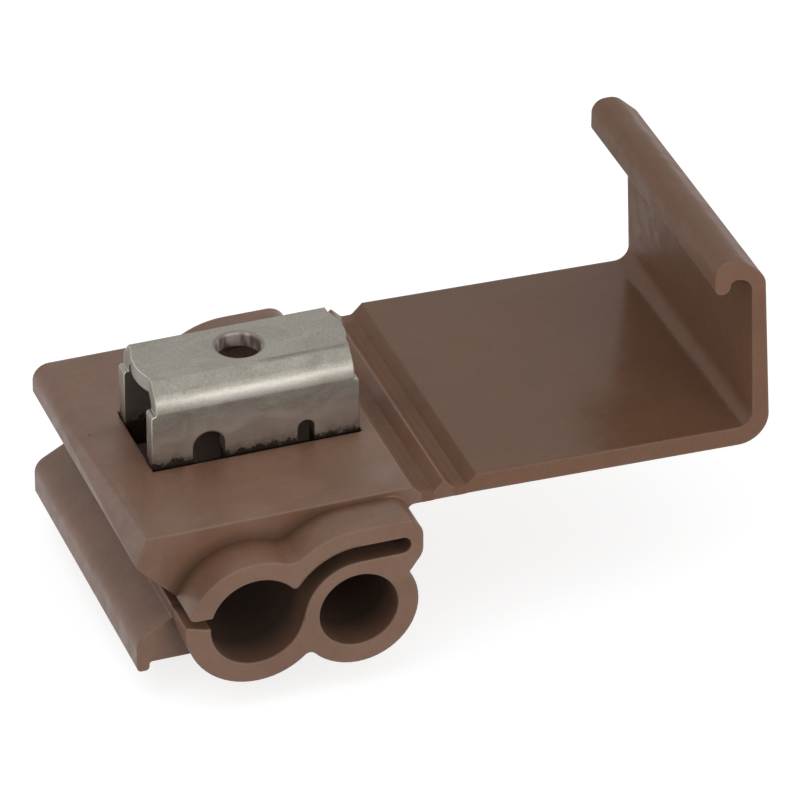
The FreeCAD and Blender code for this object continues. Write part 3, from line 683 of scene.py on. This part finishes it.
web_plastic = plastic_material(
    "web_plastic", roughness=0.55, specular=0.20, seed=0.0, flow_share=0.8,
    pale=0.012, rounding=0.01, marks=fold_shade,
)
web_piece("fold_web_1", "fold_1", web_plastic)
web_piece("fold_web_2", "fold_2", web_plastic)


# White floor that keeps the shadow, white surroundings, and soft lamps.
# The hook of the shut cover reaches below the tubes, and the floor lies just under it.
# The floor's drop is in millimetres. Its reach, and the lamps' places and sizes, are in metres.
FLOOR_DROP = 0.05
FLOOR_REACH = 0.60
FLOOR_LIT = (0.80, 0.80, 0.80, 1)
FLOOR_SHOWN = (0.45, 0.45, 0.45, 1)
FLOOR_GLOW = 0.76
WHITE = (1, 1, 1, 1)
ROOM_LIGHT = 0.60
ROOM_SHOWN = 1.0
LAMP_TARGET = Vector((0.010, 0, 0.004))


def split_output(graph, output, lit, shown):
    """Shows one shader to camera, glossy and transmission rays, and lights with the other."""
    path = graph.add("ShaderNodeLightPath").outputs
    seen = graph.math("MAXIMUM", path["Is Camera Ray"], path["Is Glossy Ray"])
    seen = graph.math("MAXIMUM", seen, path["Is Transmission Ray"])
    choice = graph.add("ShaderNodeMixShader")
    for socket, value in zip(choice.inputs, (seen, lit, shown)):
        graph.feed(socket, value)
    graph.feed(graph.add(output).inputs["Surface"], choice.outputs[0])


def add_floor():
    fold_spacing = joint_places["fold_2"].x - joint_places["fold_1"].x
    shut_hook = 2 * joint_places["fold_1"].z + fold_spacing - cad_box[1].z
    height = min(cad_box[0].z, shut_hook) - FLOOR_DROP * MM
    corners = [(-1, -1), (1, -1), (1, 1), (-1, 1)]
    points = [(x * FLOOR_REACH, y * FLOOR_REACH, height) for x, y in corners]
    mesh = bpy.data.meshes.new("floor")
    mesh.from_pydata(points, [], [(0, 1, 2, 3)])
    floor = bpy.data.objects.new("floor", mesh)
    bpy.context.scene.collection.objects.link(floor)
    material = bpy.data.materials.new("floor_white")
    material.use_nodes = True
    material.node_tree.nodes.clear()
    graph = Graph(material.node_tree)
    lit = graph.add("ShaderNodeBsdfDiffuse", Color=FLOOR_LIT)
    shaded = graph.add("ShaderNodeBsdfDiffuse", Color=FLOOR_SHOWN)
    glow = graph.add("ShaderNodeEmission", Color=WHITE, Strength=FLOOR_GLOW)
    shown = graph.add("ShaderNodeAddShader")
    graph.feed(shown.inputs[0], shaded.outputs[0])
    graph.feed(shown.inputs[1], glow.outputs[0])
    split_output(graph, "ShaderNodeOutputMaterial", lit.outputs[0], shown.outputs[0])
    mesh.materials.append(material)


def add_surroundings():
    world = bpy.data.worlds.new("studio")
    bpy.context.scene.world = world
    world.use_nodes = True
    world.node_tree.nodes.clear()
    graph = Graph(world.node_tree)
    lit = graph.add("ShaderNodeBackground", Color=WHITE, Strength=ROOM_LIGHT)
    shown = graph.add("ShaderNodeBackground", Color=WHITE, Strength=ROOM_SHOWN)
    split_output(graph, "ShaderNodeOutputWorld", lit.outputs[0], shown.outputs[0])


def add_lamp(name, direction, distance, width, height, power):
    data = bpy.data.lights.new(name, "AREA")
    data.shape = "RECTANGLE"
    data.size = width
    data.size_y = height
    data.energy = power
    lamp = bpy.data.objects.new(name, data)
    lamp.location = LAMP_TARGET + Vector(direction).normalized() * distance
    lamp.rotation_euler = (LAMP_TARGET - lamp.location).to_track_quat("-Z", "Y").to_euler()
    bpy.context.scene.collection.objects.link(lamp)


add_floor()
add_surroundings()
add_lamp("front_strip", (0.29, -0.92, 0.27), distance=0.32, width=0.34, height=0.07, power=0.33)
add_lamp("overhead", (-0.40, -0.10, 0.90), distance=0.40, width=0.30, height=0.30, power=0.25)

bpy.context.scene.view_settings.view_transform = "Standard"
add_camera()
